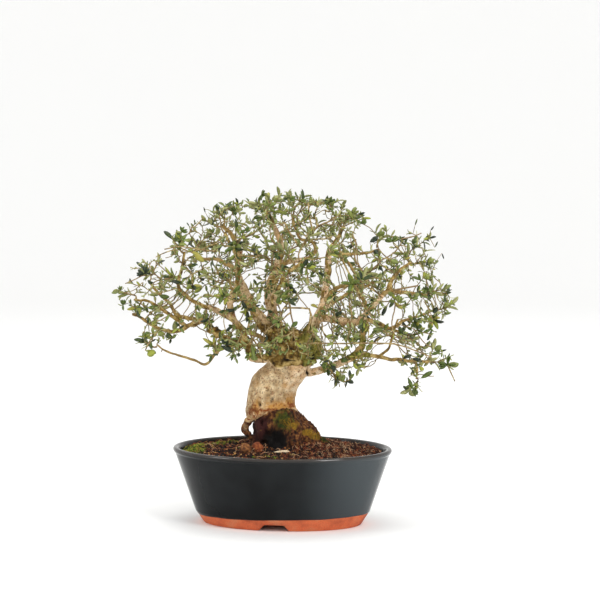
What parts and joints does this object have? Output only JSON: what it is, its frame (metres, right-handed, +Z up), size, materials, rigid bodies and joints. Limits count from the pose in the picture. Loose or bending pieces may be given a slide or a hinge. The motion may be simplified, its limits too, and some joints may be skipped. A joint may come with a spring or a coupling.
{
  "type": "olive bonsai in an oval pot",
  "caption": "Old olive bonsai with a stout leaning trunk and a broad domed crown of fine twigs and small grey-green leaves, in an oval dark-glazed pot.",
  "frame": {"origin": "on the surface that the pot stands on, at the middle of the object's box, which is within 3 mm of the pot's own middle", "axes": "+X along the pot's long side towards the right in front, -Y towards the front, +Z up"},
  "size_m": [0.3693, 0.2433, 0.3615],
  "materials": {
    "glaze": "glossy dark blue-green glaze on fired clay",
    "clay": "bare fired red clay, matte and slightly sandy",
    "soil": "loose brown bonsai soil with crumbs and dried moss",
    "moss": "short soft green moss",
    "bark": "pale grey-tan olive bark, smooth on the trunk and rough at its foot and crown",
    "leaf": "small leathery grey-green leaves, paler underneath",
    "screen_plastic": "black plastic mesh",
    "stone_brown": "rough brown lava stone",
    "stone_orange": "rough orange fired clay lump",
    "chip_wood": "pale dry bark chip"
  },
  "bodies": {
    "root": {"pot": "glaze", "soil": "soil", "tree": "bark", "drain_screen_left": "screen_plastic", "drain_screen_right": "screen_plastic", "stone_brown": "stone_brown", "stone_orange": "stone_orange", "bark_chip": "chip_wood", "spray_01": "leaf", "spray_02": "leaf", "spray_03": "leaf", "spray_04": "leaf", "spray_05": "leaf", "spray_06": "leaf", "spray_07": "leaf", "spray_08": "leaf", "spray_09": "leaf", "spray_10": "leaf", "spray_11": "leaf", "spray_12": "leaf", "spray_13": "leaf", "spray_14": "leaf", "spray_15": "leaf", "spray_16": "leaf", "spray_17": "leaf", "spray_18": "leaf", "spray_19": "leaf", "spray_20": "leaf", "spray_21": "leaf", "spray_22": "leaf", "spray_23": "leaf", "spray_24": "leaf", "spray_25": "leaf", "spray_26": "leaf", "spray_27": "leaf", "spray_28": "leaf", "spray_29": "leaf", "spray_30": "leaf", "spray_31": "leaf", "spray_32": "leaf", "spray_33": "leaf", "spray_34": "leaf", "spray_35": "leaf", "spray_36": "leaf", "spray_37": "leaf", "spray_38": "leaf", "spray_39": "leaf", "spray_40": "leaf", "spray_41": "leaf", "spray_42": "leaf", "spray_43": "leaf", "spray_44": "leaf", "spray_45": "leaf", "spray_46": "leaf", "spray_47": "leaf", "spray_48": "leaf"}
  },
  "joints": []
}
